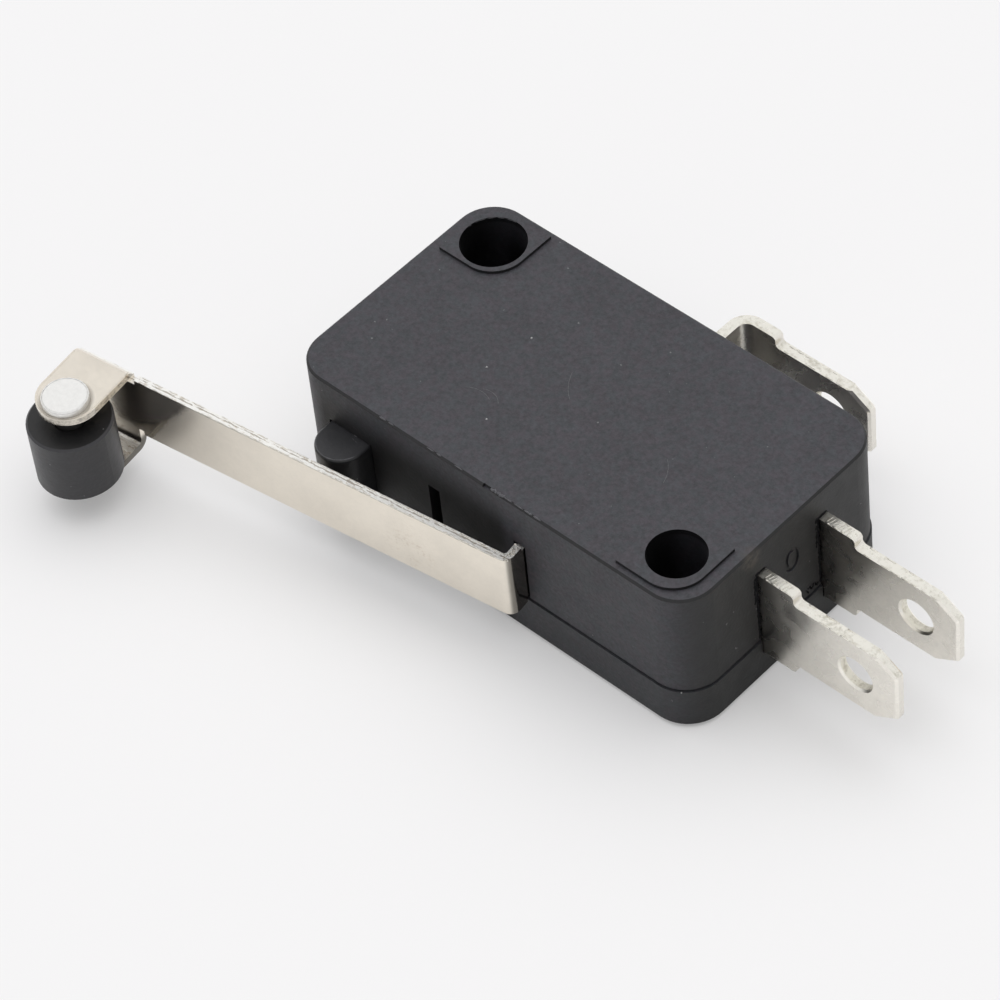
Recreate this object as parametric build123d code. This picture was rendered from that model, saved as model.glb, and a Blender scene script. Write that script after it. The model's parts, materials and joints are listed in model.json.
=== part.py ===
"""Lever micro switch with a roller: a snap-action switch with quick-connect tabs.

Frame: X runs along the body from the roller end (-X) to the two end terminals (+X), the lever lies
along the -Y side and the common terminal leaves the +Y side.  Z runs through the body's thickness,
with the cover's flat outer face on z = 0 and the centre of the body's outline at the origin.
All sizes are in millimetres and the lever stands in its free position.
"""
import math
import os

from build123d import *

# ---------------------------------------------------------------- driving sizes
# body shell: a flat cover below the parting plane and a deep case above it
body_length = 28.1
body_width = 15.9
cover_height = 2.9
case_height = 7.2
corner_radius = 2.3
shell_wall = 1.2
case_step = 0.08            # the case stands in from the cover's outline
case_draft = 0.4            # degrees
case_edge_chamfer = 0.12    # around the case's top
cover_edge_chamfer = 0.3    # around the cover's outer face
seam_chamfer = 0.12
lip_height = 0.7
lip_thickness = 0.5
lip_clearance = 0.08
lip_foot_height = 0.3       # the lip's root below the parting plane
lip_root = 0.2
lip_passage = 0.35          # room left in the lip beside whatever passes through it
smallest_corner = 0.3       # inner corners of the walls
opening_depth = 0.5         # openings reach this far inside the wall's inner face

# mounting holes, on one diagonal of the body
hole_from_end = 2.95
hole_from_side = 2.8
round_hole_diameter = 3.25
wide_hole_diameter = 3.75
boss_wall = 0.95
pad_length = 4.2
pad_width = 4.35
pad_height = 0.2
pad_corner_radius = 1.95
pad_end_inset = 0.9         # from the cover's outline to the pad's outer end
pad_side_inset = 0.55       # and to its outer side

# plunger
plunger_from_end = 4.25     # body's roller end to the plunger's middle
plunger_width = 2.95
plunger_bottom = 2.98
plunger_height = 4.15
plunger_pressed_reach = 0.9 # from the body's side to the rounded tip, at the end of its travel
plunger_travel = 1.15
plunger_flange_side = 0.5
plunger_flange_thickness = 0.8
plunger_stem_width = 1.6
plunger_stem_height = 2.4
plunger_clearance = 0.07
plunger_edge_radius = 0.18

# lever and its hinge
lever_thickness = 0.45
lever_width = 4.4
lever_middle_z = 5.05
lever_free_angle = 7.6      # degrees from the body's side, in the free position
lever_face_distance = 2.24  # hinge axis to the strip's outer face
lever_length = 28.42        # hinge axis to the strip's free end
lever_bend_radius = 0.15
hinge_from_plunger = 12.2
hinge_depth = 0.85          # from the body's side to the hinge axis
spare_hinge_distance = 6.1  # nearer the plunger, for a shorter lever
hinge_bar_length = 5.5
hinge_bar_depth = 0.5
hinge_neck_width = 3.9
hinge_neck_reach = 0.12     # the neck begins this far outside the body's side
hinge_clearance = 0.08
hinge_slot_clearance = 0.06
hinge_block_side = 0.7
hinge_block_wall = 0.35

# roller bracket at the lever's free end
ear_width = 3.64
ear_reach = 4.69            # strip's outer face to the rounded end of the ear
bracket_width = 6.0
bracket_middle_z = 4.6
bracket_fold_radius = 0.25
relief_width = 0.35
relief_depth = 0.3

# roller and the rivet that carries it
rivet_from_end = 1.94       # strip's free end to the rivet
rivet_from_ear_end = 1.44   # rounded end of the ear to the rivet
pin_diameter = 1.8
rivet_head_diameter = 2.6
rivet_head_height = 0.4
rivet_tail_diameter = 2.3
rivet_tail_height = 0.3
rivet_chamfer = 0.1
rivet_fit = 0.02
roller_diameter = 4.82
roller_length = 4.1
roller_bore_clearance = 0.08
roller_running_gap = 0.05   # over the lower ear, on which the loose roller lies
roller_chamfer = 0.12

# terminals: 4.75 mm tabs punched from one strip
tab_width = 4.75
tab_thickness = 0.65
tab_middle_z = 5.05
tab_tip_chamfer_length = 1.25
tab_tip_chamfer_width = 0.79
tab_tip_radius = 0.3
tab_bevel = 0.14
tab_hole_diameter = 2.1
tab_hole_bevel = 0.12
tab_hole_from_tip = 2.75
shoulder_width = 6.1
shoulder_radius = 0.25
shoulder_root_radius = 0.25  # between the shoulder's step and the tab
shoulder_reach = 2.25       # body's end to the step between shoulder and tab
tab_reach = 9.0             # body's end to the tip of an end tab
blade_width = 4.9
slot_clearance = 0.05
closed_tab_from_side = 5.95 # lever side to the middle of the normally closed tab's thickness
tab_spacing = 4.84          # from there to the normally open tab
common_x = 1.56             # middle of the common terminal's leg
common_reach = 3.4          # body's side to the tab's outer face
common_bend_radius = 0.6
common_step_x = 4.0
common_tip_x = 10.45
seat_gap = 0.05
seat_side = 0.6
seat_inner_side = 0.5       # on the side where the contact arm works
seat_from_contact = 0.3     # end ribs begin this far beyond the contacts' buttons
seat_from_rocker = 1.2      # the common terminal's ribs begin this far beyond the rocker's axis
rib_over_lip = 0.3

# contacts
contact_from_end = 4.25     # body's end to the contacts' axis
contact_diameter = 2.4
contact_height = 0.8
contact_shank_diameter = 1.2
contact_tail_diameter = 1.7
contact_tail_height = 0.15
contact_chamfer = 0.15
moving_contact_height = 0.81
contact_gap = 0.04
contact_blade_end = 1.5     # contacts' axis to the inner end of the blade

# snap mechanism
arm_thickness = 0.35
arm_width = 4.3
arm_beyond_contact = 1.4
arm_hook_from_contact = 2.1 # the spring's hook on the arm, nearer its knife edge
window_height = 2.3
rocker_thickness = 0.5
rocker_width = 4.6
rocker_from_arm = 1.88      # between the rocker's and the arm's knife edges
rocker_hook_from_plunger = 4.4
rocker_tail = 1.4           # beyond the plunger's middle
notch_gap = 0.05
notch_depth_arm = 0.12
notch_depth_rocker = 0.2
fork_tip = 0.75             # common terminal's tines beyond the arm's knife edge
fork_root_gap = 0.5
rocker_push_gap = 0.1
spring_wire = 0.24          # side of the spring's square wire
spring_diameter = 1.6
spring_coil_length = 5.0    # between the two straight ends
spring_turns = 6
hook_hole_clearance = 0.15
hook_ring_inset = 0.07      # the end loops are this much smaller than the coil, in radius
snap_margin = 0.04          # rocker's hook at rest, beyond the line where the arm snaps back

# small moulded details
mark_height = 1.7
mark_width = 1.1
mark_stroke = 0.26
mark_depth = 0.1
mark_off_middle = 0.12      # from midway between the end tabs
mark_z = 6.9
gate_width = 0.5
gate_depth = 0.15
gate_height = 0.22
gate_x = 0.35

# ---------------------------------------------------------------- derived places
half_length = body_length / 2
half_width = body_width / 2
body_top = cover_height + case_height
cavity_top = body_top - shell_wall
wall_x = half_length - shell_wall
wall_y = half_width - shell_wall
hole_x = half_length - hole_from_end
hole_y = half_width - hole_from_side
wide_hole = (-hole_x, hole_y)
round_hole = (hole_x, -hole_y)
boss_radius = round_hole_diameter / 2 + boss_wall

plunger_x = -half_length + plunger_from_end
plunger_top = plunger_bottom + plunger_height
plunger_tip_y = -half_width - plunger_pressed_reach - plunger_travel
plunger_middle_z = plunger_bottom + plunger_height / 2

hinge_x = plunger_x + hinge_from_plunger
spare_hinge_x = hinge_x - spare_hinge_distance
hinge_y = -half_width + hinge_depth
hinge_pocket_radius = math.hypot(lever_thickness, hinge_bar_depth) / 2 + hinge_clearance
hinge_pocket_half = hinge_bar_length / 2 + hinge_clearance
hinge_slot_half = lever_thickness / 2 + hinge_depth * math.tan(math.radians(lever_free_angle))
hinge_slot_half += hinge_slot_clearance
slot_top = lever_middle_z + hinge_neck_width / 2
rivet_along = lever_length - rivet_from_end
rivet_out = lever_face_distance + ear_reach - rivet_from_ear_end

closed_terminal_y = -half_width + closed_tab_from_side
open_terminal_y = closed_terminal_y + tab_spacing
contact_x = half_length - contact_from_end
seat_start_x = contact_x + contact_diameter / 2 + seat_from_contact
closed_face_y = closed_terminal_y + tab_thickness / 2
open_face_y = open_terminal_y - tab_thickness / 2
arm_middle_y = (closed_face_y + open_face_y) / 2
rocker_pivot_y = arm_middle_y + rocker_from_arm
common_seat_y = rocker_pivot_y + seat_from_rocker
common_near_x = common_x - tab_thickness / 2
common_far_x = common_x + tab_thickness / 2
arm_pivot = (common_far_x - notch_depth_arm + notch_gap + arm_thickness / 2, arm_middle_y)
rocker_pivot = (common_near_x + notch_depth_rocker - notch_gap - rocker_thickness / 2, rocker_pivot_y)
contact_radius = contact_x - arm_pivot[0]
arm_hook_radius = contact_radius - arm_hook_from_contact
rocker_hook_radius = rocker_pivot[0] - plunger_x - rocker_hook_from_plunger
moving_half = arm_thickness / 2 + moving_contact_height
contact_swing = (open_face_y - closed_face_y) / 2 - contact_height - moving_half - contact_gap
arm_free_angle = -math.degrees(math.asin(contact_swing / contact_radius))

# the arm snaps over when the rocker's spring hook crosses the line through the arm's own hook
# and knife edge: at rest it lies a margin beyond the line at which a pressed arm snaps back
snap_slope = math.tan(math.radians(-arm_free_angle))
snap_lever = rocker_hook_radius + arm_pivot[0] - rocker_pivot[0]
rocker_hook_y = arm_middle_y - snap_slope * snap_lever - snap_margin
rocker_angle = math.degrees(math.asin((rocker_pivot_y - rocker_hook_y) / rocker_hook_radius))

window_bottom = tab_middle_z - window_height / 2
window_top = tab_middle_z + window_height / 2
wire_half = spring_wire / 2
coil_radius = (spring_diameter - spring_wire) / 2
hook_ring_radius = coil_radius - hook_ring_inset
hook_hole_radius = wire_half + hook_hole_clearance
hook_bar_width = 2 * (hook_ring_radius - hook_hole_radius)
tolerance = 0.02            # for picking edges and corners by place


# ---------------------------------------------------------------- small helpers
def block(x0, x1, y0, y1, z0, z1):
    """A box between two corners."""
    return Pos((x0 + x1) / 2, (y0 + y1) / 2, (z0 + z1) / 2) * Box(x1 - x0, y1 - y0, z1 - z0)


def rod(x, y, radius, z0, z1):
    """An upright cylinder from z0 to z1."""
    return Pos(x, y, (z0 + z1) / 2) * Cylinder(radius, z1 - z0)


def cross_rod(x, z, radius, y0, y1):
    """A cylinder along Y from y0 to y1."""
    return Pos(x, (y0 + y1) / 2, z) * Rot(90, 0, 0) * Cylinder(radius, y1 - y0)


def prism(points, z0, z1):
    """A closed plan outline raised from z0 to z1."""
    return extrude(Pos(0, 0, z0) * make_face(Polyline(points, close=True)), z1 - z0)


def body_outline(inset, z):
    """The body's rounded rectangle, moved in from the cover's outline."""
    radius = max(corner_radius - inset, smallest_corner)
    return Pos(0, 0, z) * RectangleRounded(body_length - 2 * inset, body_width - 2 * inset, radius)


def turned(shape, centre, angle):
    """A shape turned about an upright axis through a point."""
    return Pos(*centre, 0) * Rot(0, 0, angle) * Pos(-centre[0], -centre[1], 0) * shape


def edges_near(shape, x, y):
    """The upright edges of a shape at one place in plan."""
    upright = shape.edges().filter_by(Axis.Z)
    return [e for e in upright if math.hypot(e.center().X - x, e.center().Y - y) < tolerance]


def corners_near(outline, x, z):
    """The two corners of a flat outline at one place and its mirror image."""
    found = outline.vertices()
    return [v for v in found if abs(v.X - x) < tolerance and abs(abs(v.Y) - z) < tolerance]


# ---------------------------------------------------------------- openings in the shell
def hinge_opening(x):
    """Slot for the lever's leg, with the round pocket that its cross bar turns in."""
    x0 = x - hinge_slot_half
    x1 = x + hinge_slot_half
    slot = block(x0, x1, -half_width - 1, hinge_y, cover_height, slot_top + hinge_clearance)
    pocket_top = lever_middle_z + hinge_pocket_half
    pocket_bottom = lever_middle_z - hinge_pocket_half
    return slot + rod(x, hinge_y, hinge_pocket_radius, pocket_bottom, pocket_top)


def plunger_opening():
    """Slot in the lever side's wall that guides the plunger."""
    half = plunger_width / 2 + plunger_clearance
    top = plunger_top + plunger_clearance
    inside = -wall_y + opening_depth
    return block(plunger_x - half, plunger_x + half, -half_width - 1, inside, cover_height, top)


def end_terminal_opening(y):
    """Slot in the end wall for one tab's shoulder."""
    half = tab_thickness / 2 + slot_clearance
    tall = shoulder_width / 2 + slot_clearance
    z0 = tab_middle_z - tall
    z1 = tab_middle_z + tall
    return block(wall_x - opening_depth, half_length + 1, y - half, y + half, z0, z1)


def common_terminal_opening():
    """Slot in the far side's wall for the common terminal's leg."""
    half = tab_thickness / 2 + slot_clearance
    tall = shoulder_width / 2 + slot_clearance
    x0 = common_x - half
    x1 = common_x + half
    z0 = tab_middle_z - tall
    z1 = tab_middle_z + tall
    return block(x0, x1, wall_y - opening_depth, half_width + 1, z0, z1)


def shell_openings():
    """Everything that passes through the case and the cover's rim."""
    openings = hinge_opening(hinge_x) + hinge_opening(spare_hinge_x) + plunger_opening()
    openings += end_terminal_opening(closed_terminal_y) + end_terminal_opening(open_terminal_y)
    openings += common_terminal_opening()
    return openings


def mounting_holes():
    """Both holes, right through the body."""
    tall = body_top + pad_height + 1
    holes = rod(*wide_hole, wide_hole_diameter / 2, -1, tall)
    return holes + rod(*round_hole, round_hole_diameter / 2, -1, tall)


def bosses(z0, z1):
    """Tubular posts that carry the mounting holes through the hollow body."""
    return rod(*wide_hole, boss_radius, z0, z1) + rod(*round_hole, boss_radius, z0, z1)


def terminal_seats(z0, z1):
    """Ribs that clamp the terminals' inner blades from above or below."""
    thick = tab_thickness / 2 + seat_side
    low_y = closed_terminal_y - seat_inner_side
    seats = block(seat_start_x, wall_x, low_y, closed_terminal_y + thick, z0, z1)
    seats += block(seat_start_x, wall_x, open_terminal_y - thick, open_terminal_y + thick, z0, z1)
    seats += block(common_x - thick, common_x + thick, common_seat_y, wall_y, z0, z1)
    return seats


# ---------------------------------------------------------------- shell
def make_case():
    """Deep upper shell: raised pads on top, slots open at the parting plane, ribs inside."""
    foot = body_outline(case_step, cover_height)
    shell = extrude(foot, case_height, taper=case_draft)
    shell = chamfer(shell.faces().sort_by(Axis.Z)[-1].edges(), case_edge_chamfer)
    shell = chamfer(shell.faces().sort_by(Axis.Z)[0].edges(), seam_chamfer)
    shell += mounting_pads()

    hollow = extrude(body_outline(shell_wall, cover_height), cavity_top - cover_height)
    hollow -= bosses(cover_height, cavity_top)
    blade_top = tab_middle_z + blade_width / 2 + seat_gap
    hollow -= terminal_seats(blade_top, cavity_top)
    for x in (hinge_x, spare_hinge_x):
        side = hinge_slot_half + hinge_block_side
        back = hinge_y + hinge_pocket_radius + hinge_block_wall
        hollow -= block(x - side, x + side, -wall_y - 1, back, cover_height, cavity_top)
    shell = shell - hollow + terminal_blade_guides()
    shell -= shell_openings()
    shell -= mounting_holes()
    shell -= moulded_mark()
    shell -= gate_scar()
    return shell


def terminal_blade_guides():
    """Upright ribs in the case that hold each terminal's blade by its faces."""
    gap = tab_thickness / 2 + slot_clearance
    low = cover_height + lip_height + rib_over_lip
    end_x = wall_x + shell_wall / 2
    between = (closed_terminal_y + gap, open_terminal_y - gap)
    guides = block(seat_start_x, end_x, *between, low, cavity_top)
    outer = open_terminal_y + gap
    guides += block(seat_start_x, end_x, outer, outer + seat_side, low, cavity_top)
    end_y = wall_y + shell_wall / 2
    for x0 in (common_x - gap - seat_side, common_x + gap):
        guides += block(x0, x0 + seat_side, common_seat_y, end_y, low, cavity_top)
    return guides


def mounting_pads():
    """Low raised pads around the holes, rounded towards the body's corner and its middle."""
    pad = Rectangle(pad_length, pad_width)
    diagonal = [corner for corner in pad.vertices() if corner.X * corner.Y < 0]
    pad = fillet(diagonal, pad_corner_radius)
    pad_x = half_length - pad_end_inset - pad_length / 2
    pad_y = half_width - pad_side_inset - pad_width / 2
    root_z = body_top - shell_wall / 2
    raised = extrude(Pos(pad_x, -pad_y, root_z) * pad, pad_height + shell_wall / 2)
    return raised + Rot(0, 0, 180) * raised


def moulded_mark():
    """Plain cavity number 0, sunk in the end face between the two tabs."""
    ring = Ellipse(mark_width / 2, mark_height / 2)
    ring -= Ellipse(mark_width / 2 - mark_stroke, mark_height / 2 - mark_stroke)
    face_x = half_length - case_step - (mark_z - cover_height) * math.tan(math.radians(case_draft))
    middle_y = arm_middle_y - mark_off_middle
    plane = Plane(origin=(face_x - mark_depth, middle_y, mark_z), x_dir=(0, 1, 0), z_dir=(1, 0, 0))
    return extrude(plane * ring, mark_depth + 1)


def gate_scar():
    """Notch where the moulding gate was broken off, at the lever side's top edge."""
    y = -half_width + case_step
    slope = case_height * math.tan(math.radians(case_draft))
    x0 = gate_x - gate_width / 2
    x1 = gate_x + gate_width / 2
    return block(x0, x1, y - 1, y + slope + gate_depth, body_top - gate_height, body_top + 1)


def make_cover():
    """Shallow lower shell: flat outer face, pockets in its rim, a lip that enters the case."""
    shell = extrude(body_outline(0, 0), cover_height)
    shell = chamfer(shell.faces().sort_by(Axis.Z)[0].edges(), cover_edge_chamfer)
    hollow = extrude(body_outline(shell_wall, shell_wall), cover_height - shell_wall)
    hollow -= bosses(shell_wall, cover_height)
    blade_bottom = tab_middle_z - blade_width / 2 - seat_gap
    hollow -= terminal_seats(shell_wall, blade_bottom)
    shell -= hollow
    shell += cover_lip()
    shell -= shell_openings()
    shell -= mounting_holes()
    return shell


def cover_lip():
    """Raised lip that centres the case on the cover, cut away wherever something passes."""
    foot_z = cover_height - lip_foot_height
    top = cover_height + lip_height
    outer_inset = shell_wall + lip_clearance
    inner = body_outline(outer_inset + lip_thickness, foot_z)
    lip = extrude(body_outline(outer_inset, foot_z) - inner, top - foot_z)
    lip += extrude(body_outline(shell_wall - lip_root, foot_z) - inner, lip_foot_height)
    clear = boss_radius + lip_clearance
    lip -= rod(*wide_hole, clear, cover_height, top) + rod(*round_hole, clear, cover_height, top)
    deep = lip_clearance + lip_thickness + lip_passage
    thick = tab_thickness / 2 + seat_side + lip_passage
    for y in (closed_terminal_y, open_terminal_y):
        lip -= block(wall_x - deep, wall_x, y - thick, y + thick, foot_z, top)
    lip -= block(common_x - thick, common_x + thick, wall_y - deep, wall_y, foot_z, top)
    for x in (hinge_x, spare_hinge_x):
        side = hinge_slot_half + hinge_block_side + lip_clearance
        lip -= block(x - side, x + side, -wall_y, -wall_y + deep, foot_z, top)
    flange = plunger_width / 2 + plunger_flange_side + lip_passage
    lip -= block(plunger_x - flange, plunger_x + flange, -wall_y, -wall_y + deep, foot_z, top)
    return lip


# ---------------------------------------------------------------- plunger
def make_plunger():
    """Push button: rounded blade outside, flange inside the wall, stem down to the rocker."""
    half = plunger_width / 2
    flange_y = -wall_y + plunger_clearance
    head = block(plunger_x - half, plunger_x + half, plunger_tip_y + half,
                 flange_y + plunger_flange_thickness / 2, plunger_bottom, plunger_top)
    head += rod(plunger_x, plunger_tip_y + half, half, plunger_bottom, plunger_top)
    head = fillet(head.faces().sort_by(Axis.Z)[-1].edges(), plunger_edge_radius)
    wide = half + plunger_flange_side
    flange = block(plunger_x - wide, plunger_x + wide, flange_y, flange_y + plunger_flange_thickness,
                   plunger_bottom, plunger_top)
    stem_half = plunger_stem_width / 2
    z0 = plunger_middle_z - plunger_stem_height / 2
    z1 = plunger_middle_z + plunger_stem_height / 2
    nose_y = stem_nose_y()
    stem = block(plunger_x - stem_half, plunger_x + stem_half, flange_y, nose_y, z0, z1)
    stem += rod(plunger_x, nose_y, stem_half, z0, z1)
    return head + flange + stem


def stem_nose_y():
    """Centre of the stem's round nose, a push gap away from the rocker's face."""
    angle = math.radians(rocker_angle)
    away = rocker_thickness / 2 + plunger_stem_width / 2 + rocker_push_gap
    along = rocker_pivot[0] - plunger_x
    return rocker_pivot[1] - (along * math.sin(angle) + away) / math.cos(angle)


# ---------------------------------------------------------------- lever with its roller
def lever_plan(along, out):
    """Plan point of the pressed lever: along the strip from the hinge, and out from it."""
    return (hinge_x - along, hinge_y - out)


def in_free_position(shape):
    """Turns a shape from the pressed lever's place to the free lever's place."""
    return turned(shape, (hinge_x, hinge_y), lever_free_angle)


def make_lever():
    """Folded strip: hinge leg with its cross bar, long strip, and a two-eared roller bracket."""
    half = lever_thickness / 2
    face = lever_face_distance
    back = face - lever_thickness
    low = lever_middle_z - lever_width / 2
    high = lever_middle_z + lever_width / 2
    outline = [lever_plan(-half, 0), lever_plan(-half, face), lever_plan(lever_length, face),
               lever_plan(lever_length, back), lever_plan(half, back), lever_plan(half, 0)]
    strip = prism(outline, low, high)
    strip = fillet(edges_near(strip, *outline[1]), lever_bend_radius + lever_thickness)
    strip = fillet(edges_near(strip, *outline[4]), lever_bend_radius)

    # inside the body's wall the leg narrows to a neck and ends in a cross bar
    inside = hinge_depth + hinge_neck_reach
    for z0, z1 in ((low - 1, lever_middle_z - hinge_neck_width / 2),
                   (lever_middle_z + hinge_neck_width / 2, high + 1)):
        strip -= block(hinge_x - 1, hinge_x + 1, hinge_y - inside, hinge_y + 1, z0, z1)
    bar_half = hinge_bar_length / 2
    bar = block(hinge_x - half, hinge_x + half, hinge_y - hinge_bar_depth / 2,
                hinge_y + hinge_bar_depth / 2, lever_middle_z - bar_half, lever_middle_z + bar_half)
    lever = strip + bar + roller_bracket()
    lever -= bracket_reliefs()
    pin_x, pin_y = lever_plan(rivet_along, rivet_out)
    lever -= rod(pin_x, pin_y, pin_diameter / 2 + rivet_fit, 0, body_top)
    return in_free_position(lever)


def roller_bracket():
    """Channel folded from the strip's end, its two ears rounded around the rivet."""
    face = lever_face_distance
    back = face - lever_thickness
    tip = face + ear_reach
    z0 = bracket_middle_z - bracket_width / 2
    z1 = bracket_middle_z + bracket_width / 2
    t = lever_thickness
    ear_end = lever_length
    ear_start = lever_length - ear_width
    profile = [(back, z0), (back, z1), (tip, z1), (tip, z1 - t), (face, z1 - t), (face, z0 + t),
               (tip, z0 + t), (tip, z0)]
    plane = Plane(origin=(hinge_x - ear_start, hinge_y, 0), x_dir=(0, -1, 0), z_dir=(-1, 0, 0))
    section = make_face(Polyline(profile, close=True))
    outer = [v for v in section.vertices() if abs(v.X - back) < tolerance]
    section = fillet(outer, bracket_fold_radius + t)
    inner = [v for v in section.vertices() if abs(v.X - face) < tolerance]
    section = fillet(inner, bracket_fold_radius)
    channel = extrude(plane * section, ear_width)
    middle = (ear_start + ear_end) / 2
    radius = ear_width / 2
    cx, cy = lever_plan(middle, tip - radius)
    x0 = lever_plan(ear_end, 0)[0]
    x1 = lever_plan(ear_start, 0)[0]
    plan = block(x0, x1, cy, hinge_y - back + 1, z0 - 1, z1 + 1)
    plan += rod(cx, cy, radius, z0 - 1, z1 + 1)
    return channel & plan


def bracket_reliefs():
    """Notches that let the ears fold clear of the strip's edges."""
    x1 = lever_plan(lever_length - ear_width - relief_width, 0)[0]
    x0 = lever_plan(lever_length - ear_width, 0)[0]
    y0 = hinge_y - lever_face_distance - 1
    y1 = hinge_y - lever_face_distance + lever_thickness + 1
    high = lever_middle_z + lever_width / 2
    low = lever_middle_z - lever_width / 2
    upper = block(x0, x1, y0, y1, high - relief_depth, high + 1)
    lower = block(x0, x1, y0, y1, low - 1, low + relief_depth)
    return upper + lower


def make_roller_rivet():
    """Headed pin, peened over under the lower ear."""
    x, y = lever_plan(rivet_along, rivet_out)
    top = bracket_middle_z + bracket_width / 2
    bottom = bracket_middle_z - bracket_width / 2
    head = rod(x, y, rivet_head_diameter / 2, top, top + rivet_head_height)
    head = chamfer(head.faces().sort_by(Axis.Z)[-1].edges(), rivet_chamfer)
    tail = rod(x, y, rivet_tail_diameter / 2, bottom - rivet_tail_height, bottom)
    tail = chamfer(tail.faces().sort_by(Axis.Z)[0].edges(), rivet_chamfer)
    rivet = head + rod(x, y, pin_diameter / 2, bottom, top) + tail
    return in_free_position(rivet)


def make_roller():
    """Plastic roller, free to turn on its pin and lying just over the lower ear."""
    x, y = lever_plan(rivet_along, rivet_out)
    bottom = bracket_middle_z - bracket_width / 2 + lever_thickness + roller_running_gap
    roller = rod(x, y, roller_diameter / 2, bottom, bottom + roller_length)
    roller = chamfer(roller.edges().filter_by(GeomType.CIRCLE), roller_chamfer)
    bore = pin_diameter / 2 + roller_bore_clearance
    roller -= rod(x, y, bore, bottom - 1, bottom + roller_length + 1)
    return in_free_position(roller)


# ---------------------------------------------------------------- terminals
def tab_outline(root, step, tip):
    """Side view of a tab: shoulder from root to step, then the tab with its chamfered tip."""
    wide = shoulder_width / 2
    half = tab_width / 2
    start = tip - tab_tip_chamfer_length
    nose = half - tab_tip_chamfer_width
    upper = [(root, wide), (step, wide), (step, half), (start, half), (tip, nose)]
    lower = [(x, -z) for x, z in reversed(upper)]
    outline = make_face(Polyline(upper + lower, close=True))
    for x, z, radius in ((step, wide, shoulder_radius), (step, half, shoulder_root_radius),
                         (tip, nose, tab_tip_radius)):
        outline = fillet(corners_near(outline, x, z), radius)
    return outline


def tab_prism(root, step, tip, y0, y1):
    """A tab's side view given its thickness, with the bevelled tip and the locking hole."""
    plane = Plane(origin=(0, y1, tab_middle_z), x_dir=(1, 0, 0), z_dir=(0, -1, 0))
    tab = extrude(plane * tab_outline(root, step, tip), y1 - y0)
    start = tip - tab_tip_chamfer_length
    faces = tab.faces().filter_by(Axis.Y)
    tip_edges = [e for e in faces.edges() if e.center().X > start + tolerance]
    tab = chamfer(tip_edges, tab_bevel)
    x = tip - tab_hole_from_tip
    radius = tab_hole_diameter / 2
    tab -= cross_rod(x, tab_middle_z, radius, y0 - 1, y1 + 1)
    round_edges = tab.edges().filter_by(GeomType.CIRCLE)
    return chamfer([e for e in round_edges if abs(e.radius - radius) < tolerance], tab_hole_bevel)


def make_end_terminal(y):
    """Straight terminal through the body's end wall, with a blade for its contact inside."""
    y0 = y - tab_thickness / 2
    y1 = y + tab_thickness / 2
    terminal = tab_prism(wall_x, half_length + shoulder_reach, half_length + tab_reach, y0, y1)
    z0 = tab_middle_z - blade_width / 2
    z1 = tab_middle_z + blade_width / 2
    terminal += block(contact_x - contact_blade_end, wall_x, y0, y1, z0, z1)
    hole = contact_shank_diameter / 2 + rivet_fit
    return terminal - cross_rod(contact_x, tab_middle_z, hole, y0 - 1, y1 + 1)


def make_common_terminal():
    """Angled terminal: a fork inside that carries both knife edges, and a tab bent to +X outside."""
    outer_y = half_width + common_reach
    inner_y = outer_y - tab_thickness
    end_y = arm_middle_y - fork_tip
    outline = [(common_near_x, end_y), (common_near_x, outer_y), (common_tip_x, outer_y),
               (common_tip_x, inner_y), (common_far_x, inner_y), (common_far_x, end_y)]
    z0 = tab_middle_z - shoulder_width / 2
    z1 = tab_middle_z + shoulder_width / 2
    angle = prism(outline, z0, z1)
    angle = fillet(edges_near(angle, *outline[1]), common_bend_radius + tab_thickness)
    angle = fillet(edges_near(angle, *outline[4]), common_bend_radius)

    root = common_far_x + common_bend_radius
    half = blade_width / 2
    keep = tab_prism(root, common_step_x, common_tip_x, inner_y, outer_y)
    keep += block(common_near_x - 1, root, wall_y, outer_y + 1, z0, z1)
    keep += block(common_near_x - 1, root, end_y - 1, wall_y, tab_middle_z - half, tab_middle_z + half)
    terminal = angle & keep

    slot_end = arm_middle_y + spring_diameter / 2 + fork_root_gap
    terminal -= block(common_near_x - 1, common_far_x + 1, end_y - 1, slot_end,
                      window_bottom, window_top)
    terminal -= rod(*arm_pivot, arm_thickness / 2 + notch_gap, 0, body_top)
    terminal -= rod(*rocker_pivot, rocker_thickness / 2 + notch_gap, 0, body_top)
    return terminal


def contact_rivet(face_y, back_y):
    """Silver contact: button on the face, shank through the blade, upset tail on the back."""
    way = 1 if face_y > back_y else -1
    top = face_y + way * contact_height
    low, high = sorted((face_y, top))
    button = cross_rod(contact_x, tab_middle_z, contact_diameter / 2, low, high)
    rim = button.faces().sort_by(Axis.Y)[-1 if way > 0 else 0].edges()
    button = chamfer(rim, contact_chamfer)
    low, high = sorted((face_y, back_y))
    shank = cross_rod(contact_x, tab_middle_z, contact_shank_diameter / 2, low, high)
    end = back_y - way * contact_tail_height
    low, high = sorted((back_y, end))
    tail = cross_rod(contact_x, tab_middle_z, contact_tail_diameter / 2, low, high)
    return button + shank + tail


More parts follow.
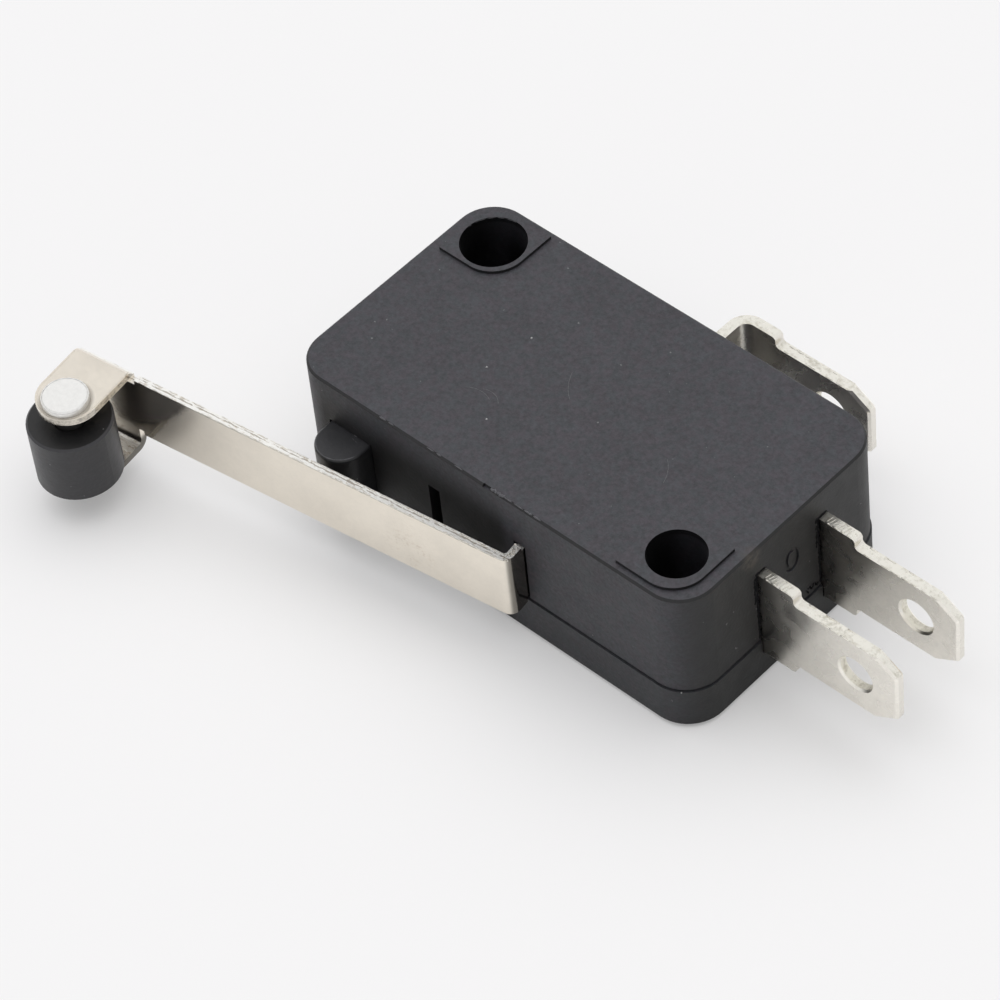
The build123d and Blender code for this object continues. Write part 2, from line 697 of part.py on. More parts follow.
# ---------------------------------------------------------------- snap mechanism
def make_contact_arm():
    """Sprung arm: two legs on knife edges, a window for the spring, a hole for its hook."""
    px, py = arm_pivot
    half = arm_thickness / 2
    z0 = tab_middle_z - arm_width / 2
    z1 = tab_middle_z + arm_width / 2
    end = px + contact_radius + arm_beyond_contact
    arm = block(px, end, py - half, py + half, z0, z1) + rod(px, py, half, z0, z1)
    hook_x = px + arm_hook_radius
    window_end = hook_x - hook_bar_width / 2
    arm -= block(px - 1, window_end, py - 1, py + 1, window_bottom, window_top)
    hook_hole_x = hook_x + hook_ring_radius
    arm -= cross_rod(hook_hole_x, tab_middle_z, hook_hole_radius, py - 1, py + 1)
    rivet_hole = contact_shank_diameter / 2 + rivet_fit
    arm -= cross_rod(contact_x, tab_middle_z, rivet_hole, py - 1, py + 1)
    return turned(arm, arm_pivot, arm_free_angle)


def make_moving_contact():
    """Double-faced contact riveted through the arm."""
    py = arm_pivot[1]
    half = arm_thickness / 2
    radius = contact_diameter / 2
    upper = cross_rod(contact_x, tab_middle_z, radius, py + half, py + moving_half)
    upper = chamfer(upper.faces().sort_by(Axis.Y)[-1].edges(), contact_chamfer)
    lower = cross_rod(contact_x, tab_middle_z, radius, py - moving_half, py - half)
    lower = chamfer(lower.faces().sort_by(Axis.Y)[0].edges(), contact_chamfer)
    shank = cross_rod(contact_x, tab_middle_z, contact_shank_diameter / 2, py - half, py + half)
    return turned(upper + shank + lower, arm_pivot, arm_free_angle)


def make_rocker():
    """Rocker between the plunger and the spring, hung on the common terminal's outer notch."""
    px, py = rocker_pivot
    half = rocker_thickness / 2
    z0 = tab_middle_z - rocker_width / 2
    z1 = tab_middle_z + rocker_width / 2
    end = px - (px - plunger_x + rocker_tail) / math.cos(math.radians(rocker_angle))
    rocker = block(end, px, py - half, py + half, z0, z1) + rod(px, py, half, z0, z1)
    hook_x = px - rocker_hook_radius
    window_start = hook_x + hook_bar_width / 2
    rocker -= block(window_start, px + 1, py - 1, py + 1, window_bottom, window_top)
    hook_hole_x = hook_x - hook_ring_radius
    rocker -= cross_rod(hook_hole_x, tab_middle_z, hook_hole_radius, py - 1, py + 1)
    return turned(rocker, rocker_pivot, rocker_angle)


def spring_ends():
    """Plan points of the two hooks: on the rocker and on the arm."""
    a = math.radians(rocker_angle)
    rocker_end = (rocker_pivot[0] - rocker_hook_radius * math.cos(a),
                  rocker_pivot[1] - rocker_hook_radius * math.sin(a))
    b = math.radians(arm_free_angle)
    arm_end = (arm_pivot[0] + arm_hook_radius * math.cos(b),
               arm_pivot[1] + arm_hook_radius * math.sin(b))
    return rocker_end, arm_end


def make_snap_spring():
    """Tension coil with straight ends and a loop on each, from the rocker to the arm."""
    (ax, ay), (bx, by) = spring_ends()
    span = math.hypot(bx - ax, by - ay)
    start = (span - spring_coil_length) / 2
    end = start + spring_coil_length
    path = Helix(pitch=spring_coil_length / spring_turns, height=spring_coil_length, radius=coil_radius)
    section = Plane(origin=path @ 0, z_dir=path % 0) * Rectangle(spring_wire, spring_wire)
    spring = Pos(0, 0, start) * sweep(section, path=path, is_frenet=True)
    ring = revolve(Pos(hook_ring_radius, 0) * Rectangle(spring_wire, spring_wire), Axis.Y)
    w = wire_half
    hooks = ((0, hook_ring_radius, start), (span, span - hook_ring_radius, end))
    for hook_z, hook_end, coil_end in hooks:
        low, high = sorted((hook_end, coil_end))
        spring += Pos(0, 0, hook_z) * ring
        spring += block(-w, w, -w, w, low - w, high + w)
        spring += block(-w, coil_radius, -w, w, coil_end - w, coil_end + w)
    heading = math.degrees(math.atan2(by - ay, bx - ax))
    lying = Plane(origin=(0, 0, 0), x_dir=(0, 1, 0), z_dir=(1, 0, 0))
    return Pos(ax, ay, tab_middle_z) * Rot(0, 0, heading) * (lying * spring)


# ---------------------------------------------------------------- nodes
def build_nodes():
    """Every separate piece of the switch, by node name."""
    closed_back = closed_terminal_y - tab_thickness / 2
    open_back = open_terminal_y + tab_thickness / 2
    return {
        "case": make_case(),
        "cover": make_cover(),
        "plunger": make_plunger(),
        "lever": make_lever(),
        "roller_rivet": make_roller_rivet(),
        "roller": make_roller(),
        "common_terminal": make_common_terminal(),
        "normally_closed_terminal": make_end_terminal(closed_terminal_y),
        "normally_open_terminal": make_end_terminal(open_terminal_y),
        "normally_closed_contact": contact_rivet(closed_face_y, closed_back),
        "normally_open_contact": contact_rivet(open_face_y, open_back),
        "contact_arm": make_contact_arm(),
        "moving_contact": make_moving_contact(),
        "rocker": make_rocker(),
        "snap_spring": make_snap_spring(),
    }


os.makedirs("parts", exist_ok=True)
for name, shape in build_nodes().items():
    export_step(shape, f"parts/{name}.step")
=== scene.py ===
"""Looks of the lever micro switch: finishes, fine surface marks, light and camera.

Places and sizes are in mm until they reach Blender, which has the frame's metres.
"""
import json
import math
import random

import bmesh
import bpy
from mathutils import Matrix, Vector


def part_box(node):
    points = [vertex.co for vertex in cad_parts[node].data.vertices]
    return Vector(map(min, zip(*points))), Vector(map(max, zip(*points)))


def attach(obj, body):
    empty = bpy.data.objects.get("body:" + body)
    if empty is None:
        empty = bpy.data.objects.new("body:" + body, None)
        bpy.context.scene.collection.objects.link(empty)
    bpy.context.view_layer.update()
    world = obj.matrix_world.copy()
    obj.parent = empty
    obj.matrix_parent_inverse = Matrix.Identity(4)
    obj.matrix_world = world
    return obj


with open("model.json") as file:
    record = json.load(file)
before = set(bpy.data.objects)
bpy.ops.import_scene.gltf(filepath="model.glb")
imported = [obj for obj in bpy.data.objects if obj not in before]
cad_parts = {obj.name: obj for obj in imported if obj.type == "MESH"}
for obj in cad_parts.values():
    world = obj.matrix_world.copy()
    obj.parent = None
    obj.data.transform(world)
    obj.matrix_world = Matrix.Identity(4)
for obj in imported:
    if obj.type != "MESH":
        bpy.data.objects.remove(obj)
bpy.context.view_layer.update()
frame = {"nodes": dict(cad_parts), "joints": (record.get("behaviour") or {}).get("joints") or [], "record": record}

nodes = frame["nodes"]
MM = 0.001

# ---------------------------------------------------------------- places, read from the frame
PAD_HEIGHT = 0.2                               # of the raised pads round the mounting holes
WALL_LEAN = math.tan(math.radians(0.4))        # the case's walls lean in towards its top
TAB_HOLE_INSET = 2.75                          # from a tab's tip to its locking hole's middle

case_low, case_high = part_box("case")
top_z = case_high.z / MM - PAD_HEIGHT          # the case's top face
seam_z = case_low.z / MM                       # the case's foot, at the seam with the cover
side_y = case_low.y / MM                       # the lever side's wall
end_x = case_high.x / MM                       # the end wall with the two tabs
joints = {joint["name"]: joint for joint in frame["joints"]}
hinge = Vector(joints["lever_hinge"]["pos_m"]) / MM
free_angle = math.radians(joints["lever_hinge"]["range_deg"][1])
rivet = Vector(joints["roller_spin"]["pos_m"]) / MM
mounts = {mount["name"]: Vector(mount["pos_m"]) / MM for mount in frame["record"]["mounts"]}

# more of the CAD's own sizes, which a node's box doesn't tell apart
STRIP_TOP = 7.25                               # the strip's punched upper edge
EAR_TOP = 7.6                                  # the upper face of the lever's upper ear
RIVET_HEAD_RADIUS, RIVET_TOP = 1.3, 8.0
TAB_TOP, TAB_ROOT_TOP = 7.425, 8.1             # a tab's upper edge, and that of its wider root
PLUNGER_X = -9.8                               # the plunger's middle
PLUNGER_NOSE_RADIUS = 1.475


def on_lever(along, out, z):
    """A place given along the strip from the hinge and out from it."""
    turn = Matrix.Rotation(free_angle, 3, "Z")
    place = turn @ Vector((-along, -out, 0))
    return Vector((hinge.x + place.x, hinge.y + place.y, z))


# ---------------------------------------------------------------- node tree helper
class Tree:
    """Builds the node tree of a material or a world: each call makes nodes and wires them."""

    def __init__(self, owner):
        self.owner = owner
        owner.use_nodes = True
        self.tree = owner.node_tree
        self.tree.nodes.clear()

    def node(self, kind, settings=None, **inputs):
        """A node. Inputs go by socket name with _ for a space, or by number as in0, in1."""
        made = self.tree.nodes.new(kind)
        for key, value in (settings or {}).items():
            setattr(made, key, value)
        for key, value in inputs.items():
            numbered = key.startswith("in") and key[2:].isdigit()
            socket = made.inputs[int(key[2:]) if numbered else key.replace("_", " ")]
            if isinstance(value, bpy.types.NodeSocket):
                self.tree.links.new(value, socket)
            else:
                socket.default_value = value
        return made

    def math(self, operation, a, b=0.0, clamp=False):
        settings = {"operation": operation, "use_clamp": clamp}
        return self.node("ShaderNodeMath", settings, in0=a, in1=b).outputs[0]

    def total(self, *terms):
        made = terms[0]
        for term in terms[1:]:
            made = self.math("ADD", made, term)
        return made

    def product(self, *factors):
        made = factors[0]
        for factor in factors[1:]:
            made = self.math("MULTIPLY", made, factor)
        return made

    def darker(self, tone, mask, share=1.0):
        """A tone that loses a share of itself where the mask is 1."""
        return self.product(tone, self.math("SUBTRACT", 1.0, self.product(mask, share)))

    def ramp(self, value, low, high, start=0.0, end=1.0):
        """Smooth step of a value, from start at low to end at high."""
        made = self.node("ShaderNodeMapRange", {"interpolation_type": "SMOOTHSTEP"}, Value=value,
                         From_Min=low, From_Max=high, To_Min=start, To_Max=end)
        return made.outputs[0]

    def fall(self, value, low, high):
        """1 up to low, falling to 0 at high."""
        return self.ramp(value, low, high, 1.0, 0.0)

    def band(self, value, low, high, soft):
        """1 between low and high, falling to 0 over a soft margin."""
        return self.product(self.ramp(value, low - soft, low), self.fall(value, high, high + soft))

    def noise(self, where, scale, detail=2.0, rough=0.5):
        made = self.node("ShaderNodeTexNoise", Vector=where, Scale=scale, Detail=detail,
                         Roughness=rough)
        return made.outputs[0]

    def sway(self, where, size, scale, detail, rough=0.5):
        """Noise about zero, times a size."""
        level = self.math("SUBTRACT", self.noise(where, scale, detail, rough), 0.5)
        return self.product(level, size)

    def stretched(self, where, turn, scale):
        """Coordinates turned about Z and scaled by axis, for drawn-out grain."""
        made = self.node("ShaderNodeMapping", Vector=where, Rotation=(0, 0, turn), Scale=scale)
        return made.outputs[0]

    def vector(self, **parts):
        """Coordinates of some axes alone, as in a plan."""
        return self.node("ShaderNodeCombineXYZ", **parts).outputs[0]

    def near(self, where, place, inner, outer):
        """1 within the inner distance of a place, falling to 0 at the outer one."""
        made = self.node("ShaderNodeVectorMath", {"operation": "DISTANCE"}, in0=where, in1=place)
        return self.fall(made.outputs["Value"], inner, outer)

    def along(self, where, direction):
        """How far the coordinates lie along a direction."""
        made = self.node("ShaderNodeVectorMath", {"operation": "DOT_PRODUCT"}, in0=where,
                         in1=direction)
        return made.outputs["Value"]

    def mix(self, factor, a, b):
        made = self.node("ShaderNodeMix", {"data_type": "RGBA"}, in0=factor, in6=a, in7=b)
        return made.outputs[2]

    def shade(self, colour, factor):
        """A colour times a number."""
        made = self.node("ShaderNodeVectorMath", {"operation": "SCALE"}, Vector=colour,
                         Scale=factor)
        return made.outputs[0]

    def bump(self, height, distance):
        made = self.node("ShaderNodeBump", Height=height, Distance=distance * MM, Strength=1.0)
        return made.outputs[0]

    def split(self, vector):
        return self.node("ShaderNodeSeparateXYZ", Vector=vector).outputs[:3]

    def surface(self, **inputs):
        bsdf = self.node("ShaderNodeBsdfPrincipled", **inputs)
        self.node("ShaderNodeOutputMaterial", Surface=bsdf.outputs[0])
        return self.owner


def new_tree(name):
    """A material's tree, its coordinates in mm, and the surface's own direction."""
    t = Tree(bpy.data.materials.new(name))
    place = t.node("ShaderNodeTexCoord")
    return t, t.shade(place.outputs["Object"], 1 / MM), place.outputs["Normal"]


def rgb(*levels):
    return (*levels, 1)


# ---------------------------------------------------------------- plastics
SPECK = rgb(0.3, 0.3, 0.3)                     # mould dust in the plastic
RUB_PLACE = (end_x - 0.1, -2.7, 9.6)           # a brown rub at the end wall's top
RUB_COLOUR = rgb(0.075, 0.062, 0.05)
WARM, COOL = (1.07, 0.97, 1.0), (0.92, 1.02, 1.0)


def grain(t, where, fine, broad):
    """Colour factor of moulded plastic: fine spark-eroded grain over slow blotches."""
    return t.total(1.0, t.sway(where, fine, scale=4.5, detail=3, rough=0.7),
                   t.sway(where, broad, scale=0.35, detail=3, rough=0.6))


def body_plastic(name, base):
    """The shells' plastic: grained and wiped, with painted shade on the end wall, in the bores, behind the lever
    and along the top's rounded edge.
    """
    t, where, normal = new_tree(name)
    x, y, z = t.split(where)
    nx, ny, nz = t.split(normal)
    # a few wipe marks cross the faces
    wiped = t.noise(t.stretched(where, 0.7, (0.5, 7.0, 0.5)), scale=1.0, detail=4, rough=0.7)
    tone = t.total(grain(t, where, fine=1.7, broad=0.4), t.product(t.ramp(wiped, 0.62, 0.75), 0.12))
    # painted shade: the end wall is darkened, and so are the bores, which are also smoother
    tone = t.darker(tone, t.ramp(nx, 0.3, 1.0), share=0.92)
    plan = t.vector(X=x, Y=y)
    bores = [t.near(plan, (*mounts[hole].xy, 0), reach, reach + 0.1)
             for hole, reach in (("round_mounting_hole", 1.65), ("wide_mounting_hole", 1.9))]
    bore = t.product(t.math("ADD", *bores, clamp=True), t.fall(nz, 0.3, 0.7))
    tone = t.darker(tone, bore, share=0.35)
    # painted shade on the wall behind the lever, darkest away from the top
    shade_behind_lever = t.product(t.band(x, -11.5, 0.9, soft=0.9), t.ramp(z, 7.2, 9.6, start=1.0, end=0.25))
    tone = t.darker(tone, t.product(shade_behind_lever, t.ramp(ny, -0.7, -0.9)), share=0.9)
    # painted shade along the rounded edge around the top, and on the shadowed steps of the pads
    rim = t.product(t.band(z, top_z - 0.14, top_z - 0.01, soft=0.02), t.fall(nz, 0.9, 0.98))
    step = t.product(t.ramp(z, top_z + 0.005, top_z + 0.03), t.fall(nz, 0.5, 0.9))
    tone = t.darker(t.darker(tone, rim, share=0.85), step, share=0.8)
    # faint warm and cool blotches, the rub, and bright specks
    hue = t.ramp(t.noise(where, scale=1.7, detail=3, rough=0.65), 0.35, 0.65)
    warm, cool = (rgb(*(c * f for c, f in zip(base, tint))) for tint in (WARM, COOL))
    rub = t.ramp(t.noise(where, scale=2.0, detail=3), 0.3, 0.6)
    rub = t.product(t.near(where, RUB_PLACE, 0.2, 0.9), rub, 0.7)
    colour = t.mix(rub, t.shade(t.mix(hue, warm, cool), tone), RUB_COLOUR)
    dust = t.ramp(t.noise(where, scale=3.4, detail=1, rough=0.4), 0.8, 0.83)
    colour = t.mix(t.product(dust, 0.35), colour, SPECK)
    height = t.total(t.noise(where, scale=5.0, detail=3, rough=0.65),
                     t.product(t.noise(where, scale=1.2), 0.6))
    rough = t.total(0.48, t.product(t.noise(where, scale=0.8, detail=3), 0.16))
    rough = t.math("SUBTRACT", rough, t.product(bore, 0.1))
    return t.surface(Base_Color=colour, Roughness=rough, Normal=t.bump(height, 0.016))


def moving_plastic(name, base, rough_low, painted_top_tone):
    """Plunger and roller: finer, slicker plastic with turning marks; painted light brightens the plunger's level
    faces and painted shade darkens the roller's.
    """
    t, where, normal = new_tree(name)
    nz = t.split(normal)[2]
    # painted tone on the level faces: painted light where the factor is above 1, painted shade where it is below
    level = t.ramp(nz, 0.7, 0.95, start=1.0, end=painted_top_tone)
    tone = t.product(grain(t, where, fine=0.6, broad=0.3), level)
    dust = t.ramp(t.noise(where, scale=3.4, detail=1, rough=0.4), 0.77, 0.8)
    colour = t.mix(t.product(dust, 0.5), t.shade(base, tone), SPECK)
    rings = t.noise(t.stretched(where, 0, (0.4, 0.4, 7.0)), scale=1.0, detail=3)
    height = t.total(t.noise(where, scale=4.0, detail=3, rough=0.6), t.product(rings, 0.5))
    rough = t.total(rough_low, t.product(t.noise(where, scale=1.4, detail=3), 0.2))
    return t.surface(Base_Color=colour, Roughness=rough, Normal=t.bump(height, 0.012))


def loose_plastic(name, base, rough_low):
    """Loose bits and torn edges of plastic, paler than the wall that they sit on."""
    t, where, _ = new_tree(name)
    tone = t.total(0.6, t.product(t.noise(where, scale=6.0, detail=3, rough=0.7), 0.8))
    rough = t.total(rough_low, t.product(t.noise(where, scale=3.0), 0.2))
    height = t.noise(where, scale=9.0, detail=3, rough=0.6)
    return t.surface(Base_Color=t.shade(base, tone), Roughness=rough, Normal=t.bump(height, 0.01))


def shade_sheet(name):
    """Black painted shade that hardly shines, for sheets laid where there is only shadow."""
    t, where, _ = new_tree(name)
    tone = t.total(0.5, t.noise(where, scale=5.0, detail=3, rough=0.7))
    height = t.noise(where, scale=8.0, detail=3)
    return t.surface(Base_Color=t.shade((0.006, 0.006, 0.007), tone), Roughness=0.85,
                     Specular_IOR_Level=0.12, Normal=t.bump(height, 0.01))


# ---------------------------------------------------------------- metals
WORN_PLACE = on_lever(6.2, 2.24, 4.6)          # on the strip's outer face
WORN_COLOUR = rgb(0.45, 0.33, 0.22)
TORN_DARK, TORN_BRIGHT = rgb(0.68, 0.63, 0.55), rgb(0.97, 0.96, 0.93)
BREAK_COLOUR = rgb(0.26, 0.21, 0.15)
CREAM_DARK, CREAM_BRIGHT = rgb(0.66, 0.63, 0.55), rgb(0.88, 0.86, 0.79)


def plated_steel(name, base, rough_low):
    """Bright nickel plate: near-mirror faces, punched edges that are torn and mottled."""
    t, where, normal = new_tree(name)
    x, y, z = t.split(where)
    nx, _, nz = t.split(normal)
    cloud = t.noise(where, scale=0.5, detail=4, rough=0.6)
    fine = t.noise(where, scale=3.5, detail=3, rough=0.6)
    tone = t.total(0.84, t.product(cloud, 0.22), t.product(fine, 0.1))
    # painted shade rings the ear around the rivet, and the hinge leg's outer side, the ear's side and the lower
    # edges are darkened
    leg = t.product(t.ramp(nx, 0.6, 0.9), t.ramp(x, -1.0, 0.5))
    # painted shade: a dark ring on the ear around the rivet's head
    rivet_shadow = t.near(t.vector(X=x, Y=y), (*rivet.xy, 0), 1.34, 1.62)
    rivet_shadow = t.product(rivet_shadow, t.ramp(z, EAR_TOP - 0.3, EAR_TOP - 0.1))
    mottle = t.noise(where, scale=3.0, detail=3, rough=0.7)
    mottle = t.ramp(mottle, 0.3, 0.6, start=1.0, end=0.4)
    ear_side = t.product(t.band(z, 7.2, 7.52, soft=0.04), t.fall(nz, 0.2, 0.5), mottle)
    low_side = t.product(t.fall(z, 2.2, 2.7), t.fall(nz, 0.3, 0.7))
    darkening = 0.0
    for mask, share in ((leg, 0.62), (rivet_shadow, 0.45), (ear_side, 0.6), (low_side, 0.8)):
        darkening = t.math("MAXIMUM", darkening, t.product(mask, share))
    colour = t.shade(base, t.darker(tone, darkening))
    # brown specks where the plate has worn through
    worn = t.product(t.near(where, tuple(WORN_PLACE), 0.4, 2.5),
                     t.ramp(t.noise(where, scale=5.0, detail=3, rough=0.7), 0.5, 0.62),
                     t.ramp(t.noise(where, scale=0.8), 0.4, 0.62))
    colour = t.mix(t.product(worn, 0.3), colour, WORN_COLOUR)
    # the punched upper edge is mottled
    drawn = t.stretched(where, -free_angle, (2.4, 8.0, 8.0))
    torn = t.noise(drawn, scale=1.0, detail=4, rough=0.7)
    edge = t.product(t.ramp(nz, 0.6, 0.9), t.fall(z, STRIP_TOP + 0.05, STRIP_TOP + 0.15))
    colour = t.mix(edge, colour, t.mix(t.ramp(torn, 0.36, 0.48), TORN_DARK, TORN_BRIGHT))
    # its break line, dark where the metal tore
    outward = (on_lever(0, 1, 0) - on_lever(0, 0, 0)).normalized()
    reach = t.math("SUBTRACT", t.along(where, outward), hinge.dot(outward))
    reach = t.total(reach, t.sway(drawn, 0.25, scale=0.6, detail=3))
    split = t.product(edge, t.band(reach, 1.96, 2.01, soft=0.03),
                      t.ramp(t.noise(drawn, scale=0.8, detail=3, rough=0.7), 0.42, 0.5))
    colour = t.mix(t.product(split, 0.7), colour, BREAK_COLOUR)
    height = t.total(t.product(cloud, 0.8), t.product(fine, 0.25), t.product(edge, torn, 2.5))
    rough = t.total(rough_low, t.product(fine, 0.1), t.product(edge, 0.2))
    return t.surface(Base_Color=colour, Metallic=1.0, Roughness=rough, Normal=t.bump(height, 0.014))


def tinned(name, base, rough_low):
    """Frosted tin over brass: a soft grainy sheen, and creamy mottled cut edges."""
    t, where, normal = new_tree(name)
    x, _, z = t.split(where)
    nx, ny, nz = t.split(normal)
    up = t.ramp(nz, 0.5, 0.85)
    # the punched walls of the locking holes are torn, and scatter the light
    side = t.vector(X=x, Z=z)
    holes = [t.near(side, (mounts[tab].x - TAB_HOLE_INSET, 0, mounts[tab].z), 1.1, 1.2)
             for tab in ("common_tab", "normally_closed_tab")]
    hole = t.product(t.total(*holes), t.fall(t.math("ABSOLUTE", ny), 0.4, 0.8))
    cloud = t.noise(where, scale=0.8, detail=4, rough=0.65)
    frost = t.noise(where, scale=6.0, detail=3, rough=0.7)
    tone = t.total(0.8, t.product(cloud, 0.24), t.product(frost, 0.16))
    # a painted reflection of the black end wall darkens the tabs' roots beside it, and the cut ends are duller
    root_shade = t.product(t.ramp(x, end_x + 0.1, end_x + 2.0, start=0.6, end=0.0),
                     t.ramp(x, end_x - 0.5, end_x - 0.2))
    shade_and_dull_ends = t.math("MAXIMUM", root_shade, t.ramp(nx, 0.6, 0.9, end=0.16))
    colour = t.shade(base, t.darker(tone, shade_and_dull_ends))
    torn = t.noise(where, scale=2.2, detail=4, rough=0.75)
    cream = t.mix(t.ramp(torn, 0.3, 0.55), CREAM_DARK, CREAM_BRIGHT)
    colour = t.mix(t.math("MAXIMUM", up, hole), colour, cream)
    soft = t.noise(where, scale=0.8, detail=1)
    height = t.total(t.product(soft, 0.6), t.product(frost, 0.05))
    height = t.total(t.darker(height, root_shade, share=1.1), t.product(up, torn, 3.0))
    rough = t.total(rough_low, t.product(soft, 0.2), t.product(hole, 0.45))
    return t.surface(Base_Color=colour, Metallic=1.0, Roughness=rough, Normal=t.bump(height, 0.007))


def plain_metal(name, base, rough_low, painted_shade_below=None):
    """Bright metal with fine pits, darkened by painted shade below a height where one is given."""
    t, where, _ = new_tree(name)
    pits = t.noise(where, scale=3.5, detail=4, rough=0.7)
    tone = t.total(0.88, t.product(pits, 0.22))
    # painted shade below the height, where the lever's ears shade the rivet
    if painted_shade_below:
        z = t.split(where)[2]
        tone = t.product(tone, t.ramp(z, painted_shade_below - 0.1, painted_shade_below, start=0.1))
    rough = t.total(rough_low, t.product(t.noise(where, scale=1.5, detail=3), 0.2))
    return t.surface(Base_Color=t.shade(base, tone), Metallic=1.0, Roughness=rough,
                     Normal=t.bump(pits, 0.02))


# ---------------------------------------------------------------- finishes
BODY = body_plastic("body_plastic", (0.0395, 0.0385, 0.0465))
COVER = body_plastic("cover_plastic", (0.026, 0.026, 0.031))
# painted light on the plunger's top, and painted shade on the roller's top under the lever's ear
PLUNGER = moving_plastic("plunger_plastic", (0.017, 0.017, 0.019), 0.3, painted_top_tone=1.6)
ROLLER = moving_plastic("roller_plastic", (0.032, 0.031, 0.035), 0.32, painted_top_tone=0.2)
NICKEL = plated_steel("lever_steel", (0.85, 0.79, 0.7), 0.1)
TIN = tinned("terminal_tin", (0.92, 0.885, 0.82), 0.18)
RIVET = plain_metal("rivet_steel", (0.88, 0.875, 0.86), 0.4, painted_shade_below=7.5)
SILVER = plain_metal("contact_silver", (0.9, 0.88, 0.84), 0.22)
BRASS = plain_metal("spring_brass", (0.78, 0.6, 0.3), 0.22)
WIRE = plain_metal("spring_wire", (0.6, 0.58, 0.56), 0.25)
FLASH = loose_plastic("torn_plastic", (0.1, 0.1, 0.11), 0.4)
DUST = loose_plastic("mould_dust", (0.42, 0.42, 0.42), 0.6)
SCUFF = loose_plastic("scuffed_plastic", (0.095, 0.095, 0.102), 0.5)
# black painted shade for the sheets at the tab slots
SLOT_SHADE = shade_sheet("slot_shade")

finishes = {
    "case": BODY, "cover": COVER, "plunger": PLUNGER, "roller": ROLLER, "lever": NICKEL,
    "roller_rivet": RIVET, "common_terminal": TIN, "normally_closed_terminal": TIN,
    "normally_open_terminal": TIN, "normally_closed_contact": SILVER,
    "normally_open_contact": SILVER, "moving_contact": SILVER, "contact_arm": BRASS,
    "rocker": NICKEL, "snap_spring": WIRE,
}
for name, finish in finishes.items():
    nodes[name].material_slots[0].material = finish


# ---------------------------------------------------------------- fine marks as geometry
class Detail:
    """One mesh of many small closed bits that rides on a body."""

    # across a ridge, from side to side: half widths, and heights above its foot
    PROFILE = ((-1, -0.35), (-0.75, 0.55), (-0.1, 1), (0.7, 0.6), (1, -0.35))
    END_TAPER = 0.35

    def __init__(self, name, body, slot, material, seed):
        self.name, self.body, self.slot, self.material = name, body, slot, material
        self.random = random.Random(seed)
        self.mesh = bmesh.new()

    def lump(self, place, size, jag=0.3):
        """A small ragged lump, half sunk where its place lies on a surface."""
        made = bmesh.ops.create_icosphere(self.mesh, subdivisions=2, radius=1.0)["verts"]
        turn = Matrix.Rotation(self.random.uniform(0, math.tau), 3, "Z")
        for vert in made:
            swell = 1 + self.random.uniform(-jag, jag)
            vert.co = turn @ Vector(c * s * swell for c, s in zip(vert.co, size)) + Vector(place)

    def ridge(self, path, width, height, up=(0, 0, 1), jag=0.35, step=0.12):
        """A ragged ridge along a path, closed at both ends, with its foot on the path."""
        path = [Vector(p) for p in path]
        up = Vector(up).normalized()
        stations = []
        for a, b in zip(path, path[1:]):
            count = max(1, round((b - a).length / step))
            stations += [a.lerp(b, i / count) for i in range(count)]
        stations.append(path[-1])
        last = len(stations) - 1
        rings = []
        for i, place in enumerate(stations):
            along = (stations[min(i + 1, last)] - stations[max(i - 1, 0)]).normalized()
            side = along.cross(up).normalized()
            taper = self.END_TAPER if i in (0, last) else 1.0
            w = width * taper * (1 + self.random.uniform(-jag, jag)) / 2
            h = height * taper * (1 + self.random.uniform(-jag, jag))
            shift = width * self.random.uniform(-jag, jag) / 3
            rings.append([self.mesh.verts.new(place + side * (w * u + shift) + up * (h * v))
                          for u, v in self.PROFILE])
        count = len(self.PROFILE)
        for a, b in zip(rings, rings[1:]):
            for k in range(count):
                self.mesh.faces.new((a[k], a[(k + 1) % count], b[(k + 1) % count], b[k]))
        self.mesh.faces.new(rings[0][::-1])
        self.mesh.faces.new(rings[-1])

    def broken(self, path, width, height, keep=0.7, piece=0.9, **more):
        """Ridges along parts of a path, about one piece long, with gaps left at random."""
        path = [Vector(p) for p in path]
        for a, b in zip(path, path[1:]):
            count = max(1, round((b - a).length / piece))
            for i in range(count):
                if self.random.random() < keep:
                    start = i + self.random.uniform(0, 0.3)
                    end = i + self.random.uniform(0.7, 1.05)
                    scale = self.random.uniform(0.6, 1.25)
                    self.ridge((a.lerp(b, start / count), a.lerp(b, min(end / count, 1))),
                               width * scale, height * scale, **more)

    def finish(self):
        """Makes the mesh an object that rides on its body."""
        bmesh.ops.recalc_face_normals(self.mesh, faces=self.mesh.faces)
        bmesh.ops.scale(self.mesh, vec=(MM,) * 3, verts=self.mesh.verts)
        mesh = bpy.data.meshes.new(self.name)
        self.mesh.to_mesh(mesh)
        self.mesh.free()
        mesh.materials.append(self.material)
        mesh.polygons.foreach_set("use_smooth", [True] * len(mesh.polygons))
        piece = bpy.data.objects.new(self.name, mesh)
        bpy.context.scene.collection.objects.link(piece)
        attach(piece, self.body)


def arc(centre, radius, start, end, z, count=24):
    """Points on a level arc, its angles in degrees."""
    angles = [math.radians(start + (end - start) * i / count) for i in range(count + 1)]
    return [(centre[0] + radius * math.cos(a), centre[1] + radius * math.sin(a), z) for a in angles]


